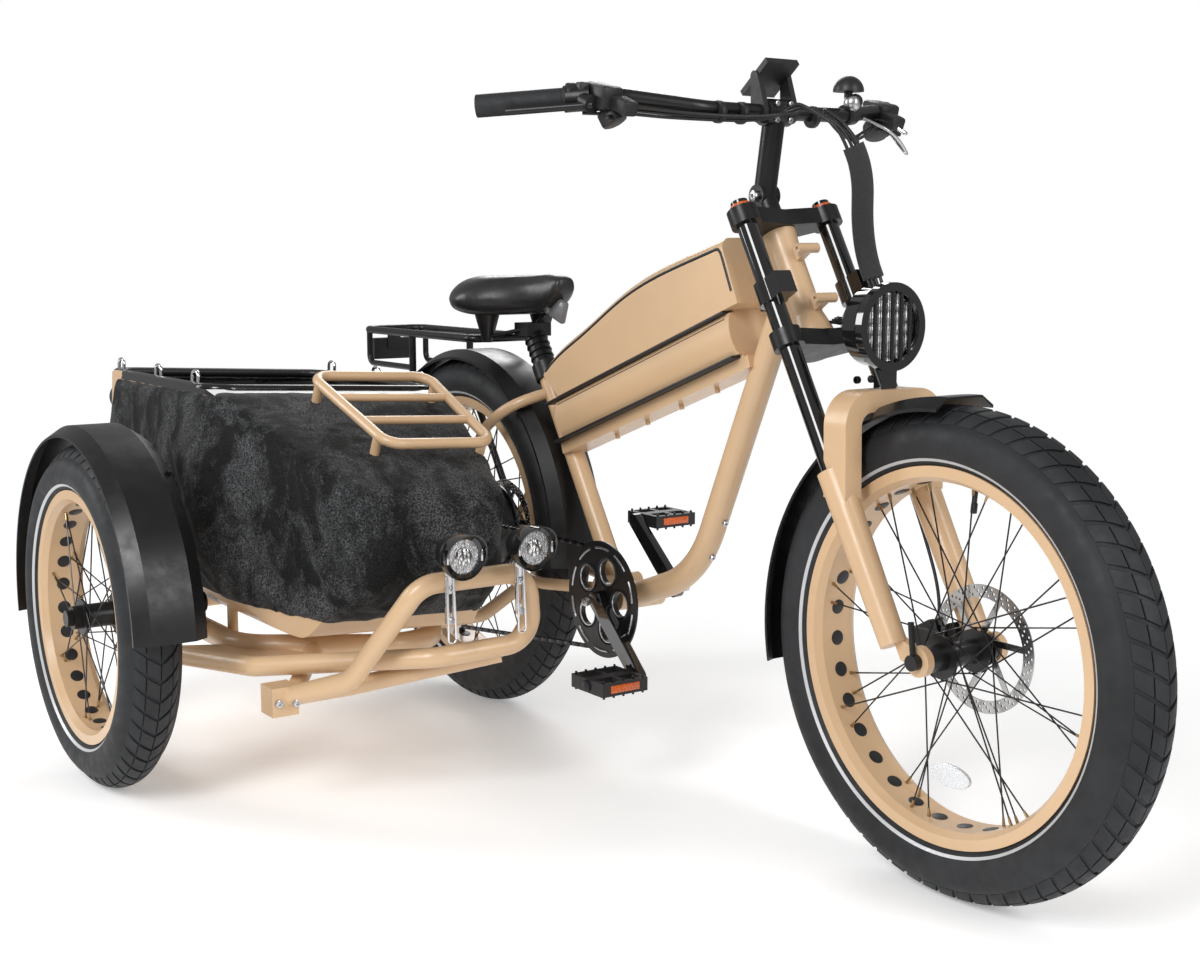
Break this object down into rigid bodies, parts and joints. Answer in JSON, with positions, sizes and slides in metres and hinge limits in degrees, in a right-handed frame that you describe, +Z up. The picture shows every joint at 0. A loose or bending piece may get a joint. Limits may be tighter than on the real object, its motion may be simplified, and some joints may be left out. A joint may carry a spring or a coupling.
{
  "type": "electric fat-tyre bicycle with sidecar",
  "caption": "Electric bicycle with fat tyres, double-crown fork and long battery under a sail-shaped tank shell, with a one-wheeled cargo sidecar fixed on its right side.",
  "frame": {"origin": "on the ground, below the middle of the whole outline", "axes": "+X forward, +Y to the rider's left, +Z up"},
  "size_m": [1.9677, 1.2707, 1.1633],
  "materials": {
    "sand_paint": "satin sand paint",
    "black_paint": "satin black paint",
    "gloss_black": "polished black",
    "tyre": "matt black rubber with a pale line",
    "black_plastic": "matt",
    "grip_rubber": "matt",
    "saddle_cover": "smooth",
    "steel": "bright",
    "dark_steel": "dark",
    "chrome": "polished",
    "lens": "clear",
    "cover_fabric": "dark nap",
    "tail_red": "clear red",
    "cable_fabric": "woven"
  },
  "bodies": {
    "frame": {"main_frame": "sand_paint", "seat_tube": "sand_paint", "battery_beam": "sand_paint", "rear_stays": "sand_paint", "tank_shell": "sand_paint", "battery": "black_plastic", "seat_post": "black_paint", "saddle": "saddle_cover", "rear_fender": "black_paint", "rear_rack": "black_paint", "rear_axle": "steel", "tail_lamps": "tail_red", "chain": "dark_steel", "derailleur": "black_paint", "sidecar_chassis": "sand_paint", "bumper": "sand_paint", "tub": "sand_paint", "tub_cover": "cover_fabric", "tub_staples": "chrome", "nose_rack": "sand_paint", "bullet_lamps": "black_paint", "lamp_glasses": "lens", "lamp_brackets": "chrome", "sidecar_fender": "black_paint", "sidecar_axle": "black_paint"},
    "steering": {"fork_crowns": "black_paint", "stanchions": "gloss_black", "fork_lowers": "sand_paint", "front_axle": "steel", "stem": "black_paint", "handlebar": "black_paint", "grips": "grip_rubber", "brake_levers": "black_paint", "display": "black_plastic", "bell": "chrome", "headlight": "black_paint", "headlight_glass": "lens", "front_fender": "black_paint", "front_caliper": "black_paint", "cable_sleeve": "cable_fabric"},
    "front_wheel": {"front_tyre": "tyre", "front_rim": "sand_paint", "front_spokes": "dark_steel", "front_hub": "black_paint"},
    "rear_wheel": {"rear_tyre": "tyre", "rear_rim": "sand_paint", "rear_spokes": "dark_steel", "rear_hub_motor": "black_paint"},
    "sidecar_wheel": {"sidecar_tyre": "tyre", "sidecar_rim": "sand_paint", "sidecar_spokes": "dark_steel", "sidecar_hub": "black_paint"},
    "crank": {"crankset": "black_paint", "chainring": "black_paint"},
    "pedal_right": {"pedal_right": "black_plastic"},
    "pedal_left": {"pedal_left": "black_plastic"}
  },
  "joints": [
    {"name": "steering_turn", "type": "hinge", "parent": "frame", "child": "steering", "pos_m": [0.34609, 0.2225, 0.756], "axis": [-0.4924, 0, 0.8704], "range_deg": [-35, 35]},
    {"name": "front_wheel_spin", "type": "hinge", "parent": "steering", "child": "front_wheel", "pos_m": [0.6435, 0.2225, 0.34], "axis": [0, 1, 0], "continuous": true},
    {"name": "rear_wheel_spin", "type": "hinge", "parent": "frame", "child": "rear_wheel", "pos_m": [-0.6115, 0.2225, 0.34], "axis": [0, 1, 0], "continuous": true},
    {"name": "sidecar_wheel_spin", "type": "hinge", "parent": "frame", "child": "sidecar_wheel", "pos_m": [-0.5065, -0.5765, 0.286], "axis": [0, 1, 0], "continuous": true},
    {"name": "crank_spin", "type": "hinge", "parent": "frame", "child": "crank", "pos_m": [-0.0935, 0.2225, 0.295], "axis": [0, 1, 0], "continuous": true},
    {"name": "pedal_right_spin", "type": "hinge", "parent": "crank", "child": "pedal_right", "pos_m": [0.04316, 0.0735, 0.19388], "axis": [0, 1, 0], "continuous": true},
    {"name": "pedal_left_spin", "type": "hinge", "parent": "crank", "child": "pedal_left", "pos_m": [-0.23016, 0.3715, 0.39612], "axis": [0, 1, 0], "continuous": true}
  ]
}
